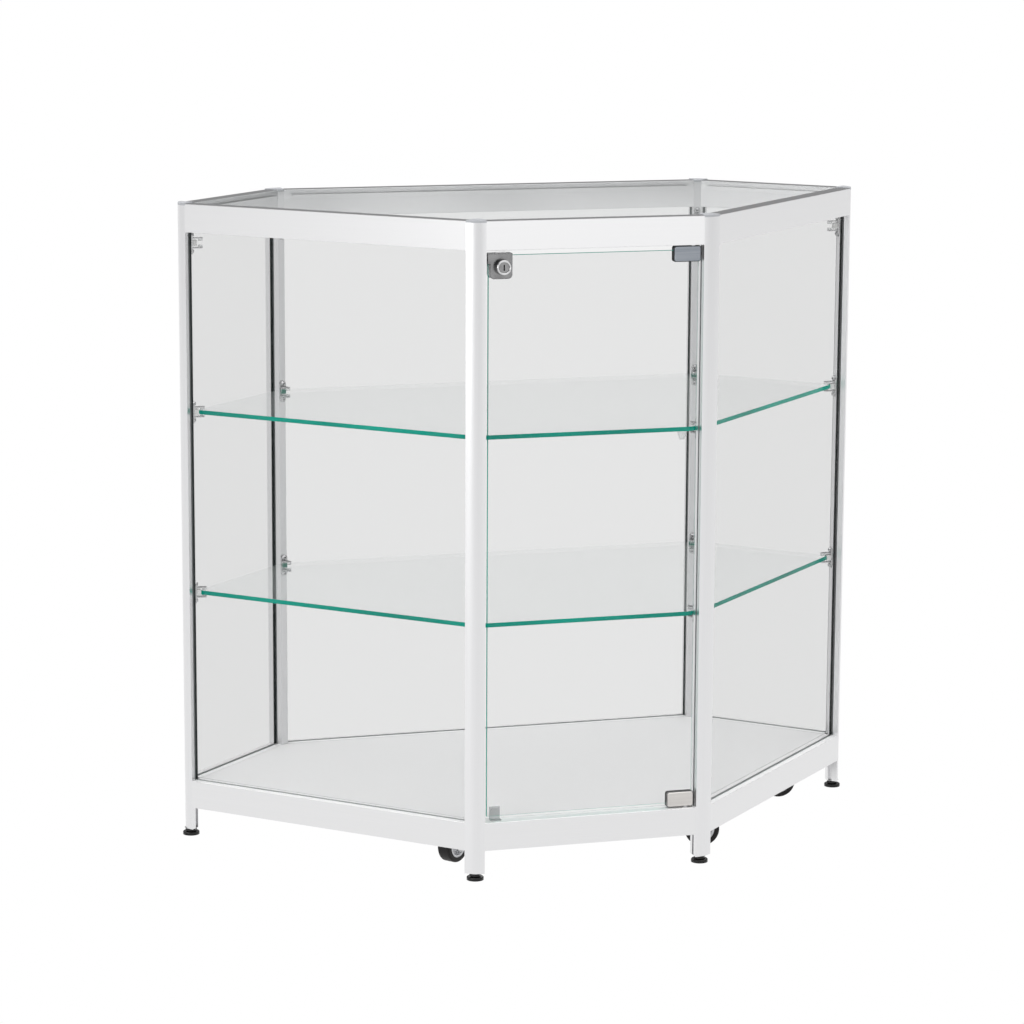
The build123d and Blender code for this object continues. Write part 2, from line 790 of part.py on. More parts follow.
def swivel_plane(axis, heading, height):
    """Level plane at a swivel axis, with x towards the wheel."""
    x_dir = Vector(1, 0).rotate(Axis.Z, heading)
    return Plane(origin=(axis[0], axis[1], height), x_dir=x_dir, z_dir=(0, 0, 1))


def wheel_plane(axis, heading):
    """Upright plane through the wheel's middle: x runs along the trail, y runs up."""
    x_dir = Vector(1, 0).rotate(Axis.Z, heading)
    origin = Vector(axis[0], axis[1], wheel_z) + x_dir * caster_trail
    return Plane(origin=origin, x_dir=x_dir, z_dir=x_dir.rotate(Axis.Z, -90))


def make_caster_tyre(name, axis, heading):
    with BuildPart() as tyre:
        with BuildSketch(wheel_plane(axis, heading)):
            Circle(wheel_radius)
        extrude(amount=wheel_width / 2, both=True)
        fillet(tyre.edges().filter_by(GeomType.CIRCLE), tyre_rounding)
        with BuildSketch(wheel_plane(axis, heading)):
            Circle(hub_radius)
        extrude(amount=wheel_width / 2, both=True, mode=Mode.SUBTRACT)
    save(tyre.part, f"caster_tyre_{name}")


def make_caster_hub(name, axis, heading):
    """Wheel centre with a rim, a thinner web and a bored boss."""
    with BuildPart() as hub:
        with BuildSketch(wheel_plane(axis, heading)):
            Circle(hub_radius)
            Circle(hub_radius - hub_rim, mode=Mode.SUBTRACT)
        extrude(amount=hub_width / 2, both=True)
        with BuildSketch(wheel_plane(axis, heading)):
            Circle(hub_radius - hub_rim)
        extrude(amount=hub_web / 2, both=True)
        with BuildSketch(wheel_plane(axis, heading)):
            Circle(hub_boss_radius)
        extrude(amount=wheel_width / 2, both=True)
        with BuildSketch(wheel_plane(axis, heading)):
            Circle(axle_radius + axle_clearance)
        extrude(amount=wheel_width / 2, both=True, mode=Mode.SUBTRACT)
    save(hub.part, f"caster_hub_{name}")


def make_caster_fork(name, axis, heading):
    """Fork with a crown, a swivel collar and two arms, and the axle riveted through the arms."""
    side = wheel_plane(axis, heading)
    crown_drop = crown_z - wheel_z
    crown_length = fork_crown_front + caster_trail + fork_arm_width / 2
    crown_shift = (caster_trail + fork_arm_width / 2 - fork_crown_front) / 2
    with BuildPart() as fork:
        with BuildSketch(swivel_plane(axis, heading, crown_z)):
            with Locations((crown_shift, 0)):
                Rectangle(crown_length, 2 * arm_outside)
        extrude(amount=fork_thickness)
        fillet(fork.edges().filter_by(Axis.Z), fork_corner)
        with BuildSketch(swivel_plane(axis, heading, crown_z + fork_thickness)):
            Circle(fork_collar_radius)
        extrude(amount=fork_collar_height)
        with BuildSketch(side.offset(arm_inside), side.offset(-arm_outside)):
            Circle(fork_arm_width / 2)
            with Locations((0, crown_drop / 2)):
                Rectangle(fork_arm_width, crown_drop)
        extrude(amount=fork_thickness)
        with BuildSketch(swivel_plane(axis, heading, crown_z)):
            Circle(king_pin_radius + king_pin_clearance)
        extrude(amount=fork_thickness + fork_collar_height, mode=Mode.SUBTRACT)
        with BuildSketch(side):
            Circle(axle_radius)
        extrude(amount=arm_outside, both=True)
        with BuildSketch(side.offset(arm_outside), side.offset(-arm_outside - axle_head_height)):
            Circle(axle_head_radius)
        extrude(amount=axle_head_height)
    save(fork.part, f"caster_fork_{name}")


def make_caster_plates():
    """Mounting plates under the base panel, each with a king pin and its head."""
    pin_low = crown_z - king_pin_head_gap
    with BuildPart() as plates:
        for _, axis, _ in casters:
            with BuildSketch(swivel_plane(axis, 0, plate_z)):
                RectangleRounded(caster_plate_size, caster_plate_size, caster_plate_corner)
            extrude(amount=caster_plate_thickness)
            with BuildSketch(swivel_plane(axis, 0, plate_z)):
                Circle(king_pin_radius)
            extrude(amount=pin_low - plate_z)
            with BuildSketch(swivel_plane(axis, 0, pin_low)):
                Circle(king_pin_head_radius)
            extrude(amount=-king_pin_head_height)
    save(plates.part, "caster_plates")


# ---- build ---------------------------------------------------------------------------------------
for number in range(corner_count):
    make_post(number)
    make_rail("top_rail", number, top_rail_z, False, top_glass_z)
    make_rail("bottom_rail", number, bottom_rail_z, True, base_z)
    make_foot(number)
for number in fixed_sides:
    make_side_glass(number)
for caster in casters:
    make_caster_tyre(*caster)
    make_caster_hub(*caster)
    make_caster_fork(*caster)
make_caster_plates()
make_post_caps()
make_gaskets()
make_panels()
make_clip_plates()
make_clip_pads()
make_clip_blocks()
make_clip_screws()
make_door_glass()
make_hinge_clamps()
make_hinge_pivots()
make_lock_body()
make_lock_plug()
make_lock_bolt()
make_door_stop()
make_clear_bumpers()
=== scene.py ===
"""Looks of the glass corner counter, in metres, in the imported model's frame: materials on the CAD nodes,
small pieces that ride on its bodies, a pale studio and the camera."""
import math

import bmesh
import bpy
from mathutils import Matrix, Vector


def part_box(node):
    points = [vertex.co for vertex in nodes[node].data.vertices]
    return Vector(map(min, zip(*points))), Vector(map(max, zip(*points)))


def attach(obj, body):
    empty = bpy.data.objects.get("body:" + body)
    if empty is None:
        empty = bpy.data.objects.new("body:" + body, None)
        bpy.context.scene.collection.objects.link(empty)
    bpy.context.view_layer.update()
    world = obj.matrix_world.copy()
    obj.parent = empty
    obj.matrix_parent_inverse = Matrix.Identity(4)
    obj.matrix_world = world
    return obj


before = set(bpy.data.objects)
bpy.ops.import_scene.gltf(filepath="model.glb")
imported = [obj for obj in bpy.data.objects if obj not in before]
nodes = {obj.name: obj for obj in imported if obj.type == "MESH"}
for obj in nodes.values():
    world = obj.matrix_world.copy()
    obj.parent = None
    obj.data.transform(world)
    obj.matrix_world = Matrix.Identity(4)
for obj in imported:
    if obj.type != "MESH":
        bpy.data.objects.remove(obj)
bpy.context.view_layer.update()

# ---- camera and studio ---------------------------------------------------------------------------
CAMERA_PLACE = Vector((-1.4240, -4.6589, 1.3687))
CAMERA_HEADING = 16.549          # degrees from +Y towards +X
CAMERA_TILT = 10.593             # degrees below the horizon
CAMERA_ROLL = 0.265              # degrees
CAMERA_LENS = 122.79             # mm
SENSOR_WIDTH = 36.0              # mm
VIEW_DEPTH = 400.0               # metres
FLOOR_HALF = 150.0
HORIZON_LIGHT = 0.34
HORIZON_AT = 0.45                # height in the sky, 0 at the horizon and 1 straight up
OVERHEAD_LIGHT = 2.2
OVERHEAD_AT = 0.85
LIGHT_SIZE = 2.6
LIGHT_TARGET = Vector((0, 0, 0.5))
KEY_PLACE = (-5.0, -3.4, 1.6)
KEY_POWER = 60
FRONT_PLACE = (1.6, -6.2, 1.3)
FRONT_POWER = 14


def make_camera():
    heading, tilt, roll = (math.radians(angle) for angle in (CAMERA_HEADING, CAMERA_TILT, CAMERA_ROLL))
    level = Vector((math.sin(heading), math.cos(heading), 0))
    forward = level * math.cos(tilt) - Vector((0, 0, 1)) * math.sin(tilt)
    right = forward.cross(Vector((0, 0, 1))).normalized()
    up = right.cross(forward)
    rolled_right = right * math.cos(roll) + up * math.sin(roll)
    rolled_up = up * math.cos(roll) - right * math.sin(roll)
    camera = bpy.data.objects.new("camera", bpy.data.cameras.new("camera"))
    camera.data.sensor_width = SENSOR_WIDTH
    camera.data.lens = CAMERA_LENS
    camera.data.clip_end = VIEW_DEPTH
    rotation = Matrix((rolled_right, rolled_up, -forward)).transposed()
    camera.matrix_world = Matrix.Translation(CAMERA_PLACE) @ rotation.to_4x4()
    bpy.context.scene.collection.objects.link(camera)
    bpy.context.scene.camera = camera


def make_world():
    """Soft light that is bright overhead and greyer towards the horizon."""
    world = bpy.data.worlds.new("studio")
    bpy.context.scene.world = world
    world.use_nodes = True
    tree = world.node_tree
    coords = tree.nodes.new("ShaderNodeTexCoord")
    split = tree.nodes.new("ShaderNodeSeparateXYZ")
    ramp = tree.nodes.new("ShaderNodeValToRGB")
    horizon, overhead = ramp.color_ramp.elements
    horizon.position = HORIZON_AT
    horizon.color = (HORIZON_LIGHT, HORIZON_LIGHT, HORIZON_LIGHT * 1.02, 1)
    overhead.position = OVERHEAD_AT
    overhead.color = (OVERHEAD_LIGHT, OVERHEAD_LIGHT, OVERHEAD_LIGHT, 1)
    tree.links.new(coords.outputs["Generated"], split.inputs[0])
    tree.links.new(split.outputs["Z"], ramp.inputs[0])
    tree.links.new(ramp.outputs["Color"], tree.nodes["Background"].inputs["Color"])


def add_light(name, place, power):
    light = bpy.data.lights.new(name, "AREA")
    light.shape = "SQUARE"
    light.size = LIGHT_SIZE
    light.energy = power
    lamp = bpy.data.objects.new(name, light)
    lamp.location = place
    lamp.rotation_euler = (LIGHT_TARGET - Vector(place)).to_track_quat("-Z", "Y").to_euler()
    lamp.visible_camera = False
    bpy.context.scene.collection.objects.link(lamp)


# ---- materials -----------------------------------------------------------------------------------
NOISE_LOW, NOISE_HIGH = 0.3, 0.7     # the part of the noise's range that colours and roughness span
NOISE_DETAIL = 3.0
BUMP_DEPTH = 0.0002
MIX_LOW, MIX_HIGH, MIX_RESULT = 6, 7, 2     # the Mix node's colour sockets
UPWARD = 0.7                     # a face whose normal's z is more than this faces up
SHEET_FACE = 0.9                 # a sheet's face, not its edge, has more than this of its normal on the axis
UPPER_HALF = 0.5                 # metres above the floor, between the two hinge clamps
GLASS_ROUGHNESS = 0.04
GLASS_SPECULAR = 0.3
EDGE_DARK = (0.0, 0.13, 0.095)
EDGE_BRIGHT = (0.001, 0.27, 0.20)
# strength of the painted glow on the glass's cut edges
EDGE_PAINTED_GLOW = 0.55


class Look:
    """A Principled material with its texture nodes."""

    def __init__(self, name, **sockets):
        self.material = bpy.data.materials.new(name)
        self.material.use_nodes = True
        self.tree = self.material.node_tree
        self.shader = self.tree.nodes["Principled BSDF"]
        for socket, value in sockets.items():
            self.shader.inputs[socket.replace("_", " ")].default_value = value

    def node(self, kind, **inputs):
        made = self.tree.nodes.new("ShaderNode" + kind)
        for name, value in inputs.items():
            made.inputs[name.replace("_", " ")].default_value = value
        return made

    def link(self, output, target):
        self.tree.links.new(output, target)

    def noise(self, scale, stretch=(1, 1, 1)):
        """Noise in the object's own space, with a scale of its own along each axis."""
        coords = self.node("TexCoord")
        mapping = self.node("Mapping", Scale=stretch)
        noise = self.node("TexNoise", Scale=scale, Detail=NOISE_DETAIL)
        self.link(coords.outputs["Object"], mapping.inputs["Vector"])
        self.link(mapping.outputs["Vector"], noise.inputs["Vector"])
        return noise.outputs[0]

    def ramp(self, factor, low, high):
        """Noise mapped to a colour between low and high."""
        ramp = self.node("ValToRGB")
        for element, place, colour in zip(ramp.color_ramp.elements, (NOISE_LOW, NOISE_HIGH), (low, high)):
            element.position = place
            element.color = (*colour, 1)
        self.link(factor, ramp.inputs[0])
        return ramp.outputs["Color"]

    def span(self, factor, low, high):
        """Noise mapped to a number between low and high."""
        span = self.node("MapRange", From_Min=NOISE_LOW, From_Max=NOISE_HIGH, To_Min=low, To_Max=high)
        self.link(factor, span.inputs["Value"])
        return span.outputs["Result"]

    def blend(self, factor, low, high):
        """A 0..1 factor mapped to a number between low and high."""
        blend = self.node("MapRange", To_Min=low, To_Max=high)
        self.link(factor, blend.inputs["Value"])
        return blend.outputs["Result"]

    def mix(self, factor, low, high):
        """A 0..1 factor mapped to a colour; low and high are colours or outputs."""
        mix = self.node("Mix")
        mix.data_type = "RGBA"
        self.link(factor, mix.inputs["Factor"])
        for socket, value in ((MIX_LOW, low), (MIX_HIGH, high)):
            if isinstance(value, tuple):
                mix.inputs[socket].default_value = (*value, 1)
            else:
                self.link(value, mix.inputs[socket])
        return mix.outputs[MIX_RESULT]

    def math(self, operation, *operands):
        made = self.node("Math")
        made.operation = operation
        for socket, value in zip(made.inputs, operands):
            if isinstance(value, (int, float)):
                socket.default_value = value
            else:
                self.link(value, socket)
        return made.outputs[0]

    def bump(self, height, strength):
        bump = self.node("Bump", Strength=strength, Distance=BUMP_DEPTH)
        self.link(height, bump.inputs["Height"])
        self.link(bump.outputs["Normal"], self.shader.inputs["Normal"])


def grey(value):
    return (value, value, value * 1.01)


def brushed_metal(name, low, high, roughness, stretch, strength=0.06):
    """Drawn or brushed metal: fine streaks along the axis with the smallest stretch."""
    look = Look(name, Metallic=1.0)
    streaks = look.noise(1.0, stretch)
    look.link(look.ramp(streaks, low, high), look.shader.inputs["Base Color"])
    look.link(look.span(streaks, roughness - 0.03, roughness + 0.03), look.shader.inputs["Roughness"])
    look.bump(streaks, strength)
    return look.material


def rail_metal(name, painted_light_top_grey, upward_roughness):
    """Satin aluminium drawn lengthways; its upward faces have a roughness of their own and a flat painted
    grey for the light on them: painted shade on the top rails, painted light on the bottom rails.
    """
    look = Look(name, Metallic=1.0)
    streaks = look.noise(1.0, (5, 5, 700))
    geometry = look.node("NewGeometry")
    split = look.node("SeparateXYZ")
    look.link(geometry.outputs["True Normal"], split.inputs[0])
    upward = look.math("GREATER_THAN", split.outputs["Z"], UPWARD)
    sides = look.ramp(streaks, (0.77, 0.77, 0.775), (0.78, 0.78, 0.785))
    # painted light: one flat grey on the upward faces, standing in for how light falls on them
    painted_light_tops = (painted_light_top_grey, painted_light_top_grey, painted_light_top_grey)
    look.link(look.mix(upward, sides, painted_light_tops), look.shader.inputs["Base Color"])
    look.link(look.blend(upward, 0.30, upward_roughness), look.shader.inputs["Roughness"])
    look.bump(streaks, 0.006)
    return look.material


def clamp_metal():
    """Satin metal in two greys split by height: painted shade on the upper clamp and painted light from the
    floor on the bottom one.
    """
    look = Look("clamp_metal", Metallic=1.0, Roughness=0.3)
    streaks = look.noise(1.0, (6, 300, 500))
    coords = look.node("TexCoord")
    split = look.node("SeparateXYZ")
    look.link(coords.outputs["Object"], split.inputs[0])
    # painted light: the clamp above UPPER_HALF gets a dark grey as shade, the one below a pale grey as light
    # from the floor
    is_upper = look.math("GREATER_THAN", split.outputs["Z"], UPPER_HALF)
    upper = look.ramp(streaks, (0.22, 0.24, 0.27), (0.31, 0.33, 0.36))
    lower = look.ramp(streaks, (0.58, 0.56, 0.54), (0.66, 0.64, 0.62))
    look.link(look.mix(is_upper, lower, upper), look.shader.inputs["Base Color"])
    look.bump(streaks, 0.03)
    return look.material


def moulded(name, low, high, roughness, scale=400.0, strength=0.08, **sockets):
    """Moulded plastic or rubber with a fine even texture."""
    look = Look(name, **sockets)
    grain = look.noise(scale)
    look.link(look.ramp(grain, low, high), look.shader.inputs["Base Color"])
    look.link(look.span(grain, roughness - 0.04, roughness + 0.04), look.shader.inputs["Roughness"])
    look.bump(grain, strength)
    return look.material


def outer_edge(look, edge_axis):
    """1 on the outside of a sheet's cut edges and 0 elsewhere; edge_axis is the axis through the sheet."""
    geometry = look.node("NewGeometry")
    turned = look.node("VectorTransform")
    turned.vector_type = "NORMAL"
    turned.convert_from = "WORLD"
    turned.convert_to = "OBJECT"
    split = look.node("SeparateXYZ")
    look.link(geometry.outputs["True Normal"], turned.inputs[0])
    look.link(turned.outputs[0], split.inputs[0])
    along_axis = look.math("ABSOLUTE", split.outputs[edge_axis])
    outside = look.math("SUBTRACT", 1.0, geometry.outputs["Backfacing"])
    return look.math("MULTIPLY", look.math("LESS_THAN", along_axis, SHEET_FACE), outside)


def pane(name, colour, clear_alpha, grazing_alpha, edge_axis=None):
    """Glass sheet, clearer face on than at a glancing angle, with teal cut edges if it has an edge_axis;
    those edges also carry a painted glow, an emission standing in for light carried along the glass.
    """
    look = Look(name, Roughness=GLASS_ROUGHNESS, Specular_IOR_Level=GLASS_SPECULAR)
    facing = look.node("LayerWeight", Blend=0.5)
    alpha = look.blend(facing.outputs["Facing"], clear_alpha, grazing_alpha)
    faces = look.ramp(look.noise(3.0), tuple(part * 0.96 for part in colour), colour)
    if edge_axis is None:
        look.link(faces, look.shader.inputs["Base Color"])
        look.link(alpha, look.shader.inputs["Alpha"])
        return look.material
    is_edge = outer_edge(look, edge_axis)
    teal = look.ramp(look.noise(4.5), EDGE_DARK, EDGE_BRIGHT)
    look.link(look.mix(is_edge, faces, teal), look.shader.inputs["Base Color"])
    # painted light: the cut edges glow in their own teal, though the glass is no lamp
    look.link(look.mix(is_edge, (0.0, 0.0, 0.0), teal), look.shader.inputs["Emission Color"])
    look.shader.inputs["Emission Strength"].default_value = EDGE_PAINTED_GLOW
    look.link(look.math("MAXIMUM", alpha, is_edge), look.shader.inputs["Alpha"])
    return look.material


def make_metals():
    return {
        "post": brushed_metal("post_aluminium", grey(0.765), grey(0.785), 0.32, (700, 700, 5), 0.01),
        # the top rails' upward faces get a painted dark grey as shade, the bottom rails' a painted near
        # white as light
        "top_rail": rail_metal("top_rail_aluminium", 0.36, 0.30),
        "rail": rail_metal("rail_aluminium", 0.95, 0.7),
        "clip": brushed_metal("clip_steel", grey(0.52), grey(0.62), 0.28, (300, 300, 300)),
        "zinc": brushed_metal("zinc_steel", grey(0.45), grey(0.60), 0.36, (60, 60, 60)),
        "clamp": clamp_metal(),
        # painted shade: the lock chrome's dark grey stands in for the dark surroundings it reflects
        "lock": brushed_metal("lock_chrome", grey(0.15), grey(0.25), 0.2, (80, 80, 80)),
        "bezel": brushed_metal("bezel_chrome", grey(0.42), grey(0.52), 0.16, (80, 80, 80)),
        "plug": brushed_metal("plug_metal", grey(0.20), grey(0.28), 0.25, (200, 200, 200)),
        "bolt": brushed_metal("bolt_steel", grey(0.45), grey(0.55), 0.3, (200, 200, 10)),
    }


def make_panes():
    clear = (0.02, 0.03, 0.028)
    return {
        "side_glass": pane("side_glass", clear, 0.058, 0.12),
        "door_glass": pane("door_glass", clear, 0.058, 0.12, "Y"),
        # painted reflection: the top glass's grey, strongest at a glancing angle, stands in for the grey
        # horizon it reflects
        "top_glass": pane("top_glass", (0.42, 0.46, 0.45), 0.05, 0.17),
        "shelf_glass": pane("shelf_glass", (0.75, 0.80, 0.79), 0.04, 0.15, "Z"),
        "clear": pane("clear_plastic", (0.75, 0.78, 0.78), 0.3, 0.6),
    }


def make_mouldings():
    return {
        "cap": moulded("cap_plastic", (0.40, 0.41, 0.43), (0.46, 0.47, 0.49), 0.4),
        "base": moulded("white_laminate", (0.86, 0.862, 0.862), (0.88, 0.882, 0.882), 0.38, 900, 0.01),
        "gasket": moulded("gasket_rubber", (0.07, 0.08, 0.08), (0.10, 0.11, 0.11), 0.6),
        "block": moulded("white_plastic", (0.85, 0.85, 0.84), (0.88, 0.88, 0.87), 0.35),
        "foot": moulded("foot_plastic", (0.003, 0.003, 0.003), (0.006, 0.006, 0.006), 0.14, 300, 0.05,
                        Specular_IOR_Level=0.35),
        "tyre": moulded("caster_rubber", (0.005, 0.004, 0.004), (0.010, 0.009, 0.009), 0.5, 600, 0.15,
                        Specular_IOR_Level=0.25),
        "hub": moulded("hub_plastic", (0.62, 0.63, 0.65), (0.70, 0.71, 0.73), 0.35),
        # real dark rubber on the upper liners, and painted shade in the screw recesses, screw sockets and
        # keyway
        "dark": moulded("dark_rubber_and_painted_shade", (0.012, 0.014, 0.016), (0.02, 0.022, 0.024), 0.5),
        # painted light: the liners' dark rubber made paler for the bottom clamp, lit from the floor
        "liner": moulded("painted_lit_liner_rubber", (0.16, 0.16, 0.16), (0.20, 0.20, 0.20), 0.5),
        "bead": moulded("clear_silicone", (0.58, 0.60, 0.60), (0.66, 0.68, 0.68), 0.4),
    }


NODE_LOOKS = {
    "post_caps": "cap", "top_glass": "top_glass", "shelf_upper": "shelf_glass",
    "shelf_lower": "shelf_glass", "base_panel": "base", "gaskets": "gasket", "clip_plates": "clip",
    "clip_pads": "clear", "clip_blocks": "block", "clip_screws": "clip", "hinge_pivots": "zinc",
    "door_stop": "clear", "clear_bumpers": "clear", "caster_plates": "zinc", "door_glass": "door_glass",
    "hinge_clamps": "clamp", "lock_body": "lock", "lock_plug": "plug", "lock_bolt": "bolt",
}
PREFIX_LOOKS = {
    "post_": "post", "top_rail_": "top_rail", "bottom_rail_": "rail", "side_glass_": "side_glass",
    "foot_": "foot", "caster_tyre_": "tyre", "caster_hub_": "hub", "caster_fork_": "zinc",
}


def look_name(node):
    if node in NODE_LOOKS:
        return NODE_LOOKS[node]
    return next(look for prefix, look in PREFIX_LOOKS.items() if node.startswith(prefix))


def dress_nodes():
    for name, thing in nodes.items():
        material = looks[look_name(name)]
        for slot in thing.material_slots:
            slot.material = material
        if not thing.material_slots:
            thing.data.materials.append(material)


# ---- shapes, in millimetres ----------------------------------------------------------------------
MM = 0.001
HERE = Matrix.Identity(4)
SHARP_ANGLE = math.radians(35)
WELD_DISTANCE = 1e-6


def lathe(profile, sides=40):
    """Mesh data turned about Z from a closed profile of (radius, height)."""
    turns = [2 * math.pi * side / sides for side in range(sides)]
    verts = [
        (radius * MM * math.cos(turn), radius * MM * math.sin(turn), height * MM)
        for turn in turns for radius, height in profile
    ]
    count = len(profile)
    faces = []
    for side in range(sides):
        here, there = side * count, (side + 1) % sides * count
        for low in range(count):
            high = (low + 1) % count
            faces.append((here + low, there + low, there + high, here + high))
    return verts, faces


def prism(outer, inner, low, high):
    """Mesh data of a ring between two outlines of the same number of points, from low to high in z."""
    count = len(outer)
    verts = [
        (x * MM, y * MM, z * MM)
        for outline_points, z in ((outer, low), (outer, high), (inner, high), (inner, low))
        for x, y in outline_points
    ]
    faces = []
    for band in range(4):
        here, there = band * count, (band + 1) % 4 * count
        for start in range(count):
            end = (start + 1) % count
            faces.append((here + start, here + end, there + end, there + start))
    return verts, faces


def rounded_rectangle(width, height, radius, steps=6):
    points = []
    for quarter, (sx, sy) in enumerate(((1, 1), (-1, 1), (-1, -1), (1, -1))):
        for step in range(steps + 1):
            angle = math.pi / 2 * (quarter + step / steps)
            points.append((sx * (width / 2 - radius) + radius * math.cos(angle),
                           sy * (height / 2 - radius) + radius * math.sin(angle)))
    return points


def shrunk(points, share):
    """The same outline, drawn in towards the origin."""
    return [(x * share, y * share) for x, y in points]


def upright_at(x, y, z=0.0):
    """Placement at a point, standing upright."""
    return Matrix.Translation(Vector((x, y, z)) * MM)


def frame_at(place, axis, right=None):
    """Placement at a point with z along axis and x along right."""
    z = Vector(axis).normalized()
    x = Vector(right).normalized() if right else z.orthogonal().normalized()
    y = z.cross(x)
    return Matrix.Translation(Vector(place) * MM) @ Matrix((x, y, z)).transposed().to_4x4()


def box_mm(node):
    low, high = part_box(node)
    return Vector(low) / MM, Vector(high) / MM


def middle_mm(node):
    low, high = box_mm(node)
    return (low + high) / 2


def add_piece(name, shapes, material, body, smooth=True):
    """One object made of (mesh data, placement) pairs, riding on a body."""
    mesh = bpy.data.meshes.new(name)
    verts, faces = [], []
    for (points, polygons), placement in shapes:
        start = len(verts)
        verts += [placement @ Vector(point) for point in points]
        faces += [tuple(start + index for index in polygon) for polygon in polygons]
    mesh.from_pydata(verts, [], faces)
    work = bmesh.new()
    work.from_mesh(mesh)
    bmesh.ops.remove_doubles(work, verts=work.verts, dist=WELD_DISTANCE)
    bmesh.ops.recalc_face_normals(work, faces=work.faces)
    work.to_mesh(mesh)
    work.free()
    if smooth:
        mesh.shade_smooth()
        mesh.set_sharp_from_angle(angle=SHARP_ANGLE)
    mesh.materials.append(looks[material])
    piece = bpy.data.objects.new(name, mesh)
    bpy.context.scene.collection.objects.link(piece)
    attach(piece, body)


# ---- the plan, in millimetres, as in the CAD -----------------------------------------------------
HALF_DIAGONAL = 716.0 / math.sqrt(2)
DOOR_HALF = 236.0 / math.sqrt(2)
BACK_HALF = 462.0 / math.sqrt(2)
MIDDLE_Y = 84.153
DOOR_Y = MIDDLE_Y - HALF_DIAGONAL + DOOR_HALF
BACK_Y = MIDDLE_Y + HALF_DIAGONAL - BACK_HALF
RAIL_WIDTH = 22.0
POST_SIDE = 15.0
CORNER_NAMES = ("left", "front_left", "front_right", "right", "back_right", "back_left")
CORNERS = [Vector(point) for point in (
    (-HALF_DIAGONAL, MIDDLE_Y), (-DOOR_HALF, DOOR_Y), (DOOR_HALF, DOOR_Y),
    (HALF_DIAGONAL, MIDDLE_Y), (BACK_HALF, BACK_Y), (-BACK_HALF, BACK_Y))]
SQUARE_CORNERS = (0, 3)
GLAZED_SIDES = (0, 2, 3, 4, 5)   # every side but the door's


def along(index):
    """Direction of the side that starts at a corner."""
    return (CORNERS[(index + 1) % 6] - CORNERS[index % 6]).normalized()


def inward(way):
    return Vector((-way.y, way.x))


def bisector(index):
    return (along(index) - along(index - 1)).normalized()


def post_section(index):
    """A post's width along its sides and its depth into the case."""
    return (RAIL_WIDTH, POST_SIDE) if index in SQUARE_CORNERS else (POST_SIDE, RAIL_WIDTH)


def flat_distance(index):
    """From a corner to its post's inner flat."""
    width, depth = post_section(index)
    half = along(index).angle(bisector(index))
    return width * math.cos(half) + depth * math.sin(half)


def outline(inset, flat_gap):
    """A panel's outline, inset from the sides and cut short of the posts' inner flats."""
    least_cut = 0.01
    points = []
    for index, corner in enumerate(CORNERS):
        half = along(index).angle(bisector(index))
        reach = flat_distance(index) + flat_gap
        step = max((reach - inset * math.sin(half)) / math.cos(half), inset / math.tan(half) + least_cut)
        before, after = along(index - 1), along(index)
        points.append(corner - before * step + inward(before) * inset)
        points.append(corner + after * step + inward(after) * inset)
    return points


# ---- small pieces --------------------------------------------------------------------------------
BEAD_WIDTH = 0.7
TOP_BEAD = (899.2, 899.7)        # low and high in z
BASE_BEAD = (80.9, 81.2)
STRIP_BANDS = ((8.32, 8.98), (13.02, 13.68))     # distances in from a side, on both faces of the glass
STRIP_HEIGHTS = ((78.0, 81.5), (860.5, 863.0))   # above the bottom rail and below the top rail
STRIP_END_GAP = 0.2
STRIP_CORE = 0.02                # share of a strip's outline left open in its middle
CLIP_HEIGHTS = (351.0, 608.0, 844.5)
CLIP_SCREW_SPACING = 23.2
CLIP_HEAD_FROM_FLAT = 4.1
RECESS_DEPTH = 0.15
RECESS_CORE = 0.05               # share of a recess's or keyway's outline left open in its middle
CLAMP_SCREWS_FROM_MIDDLE = (-11, -1)
CLAMP_HALF_HEIGHT = 10
LINER_OUTER = (38.8, 21.8, 3.4)  # width, height and corner radius
LINER_INNER = (35.0, 18.0, 2.4)
LINER_SPAN = (2.52, 3.7)         # from the middle of the door's thickness
LOCK_Z = 839.0
PLUG_RADIUS = 7.0
RING_CLEARANCE = 0.05
KEYWAY_BOTTOM = 7.2              # from the plug's face
KEYWAY_DEPTH = 6.0
GRUB_SCREWS_FROM_MIDDLE = (-6, 9)
CASTER_HEADINGS = {"front_left": 38.0, "front_right": -16.0, "right": -16.0, "back_left": 140.0}
CASTER_TRAIL = 14.0              # from the swivel to the axle
AXLE_NUT_SEAT = 15.65            # from the wheel's middle
PLATE_SCREW_OFFSETS = (-13.5, 13.5)
PLATE_UNDERSIDE_Z = 64.5


def add_beads():
    """Thin silicone lines around the top glass and the base panel."""
    outer = outline(RAIL_WIDTH, 0.0)
    inner = outline(RAIL_WIDTH + BEAD_WIDTH, BEAD_WIDTH)
    lines = [(prism(outer, inner, low, high), HERE) for low, high in (TOP_BEAD, BASE_BEAD)]
    add_piece("silicone_beads", lines, "bead", "case", smooth=False)


def add_glazing_strips():
    """Pale strips that fill the rails' grooves on both faces of the fixed glass."""
    shapes = []
    for side in GLAZED_SIDES:
        way = along(side)
        into = inward(way)
        end_corner = (side + 1) % 6
        first = CORNERS[side] + way * (post_section(side)[0] + STRIP_END_GAP)
        last = CORNERS[end_corner] - way * (post_section(end_corner)[0] + STRIP_END_GAP)
        for near, far in STRIP_BANDS:
            outer = [first + into * near, last + into * near, last + into * far, first + into * far]
            middle = sum(outer, Vector((0, 0))) / 4
            inner = [middle.lerp(point, STRIP_CORE) for point in outer]
            shapes += [(prism(outer, inner, low, high), HERE) for low, high in STRIP_HEIGHTS]
    add_piece("glazing_strips", shapes, "bead", "case", smooth=False)


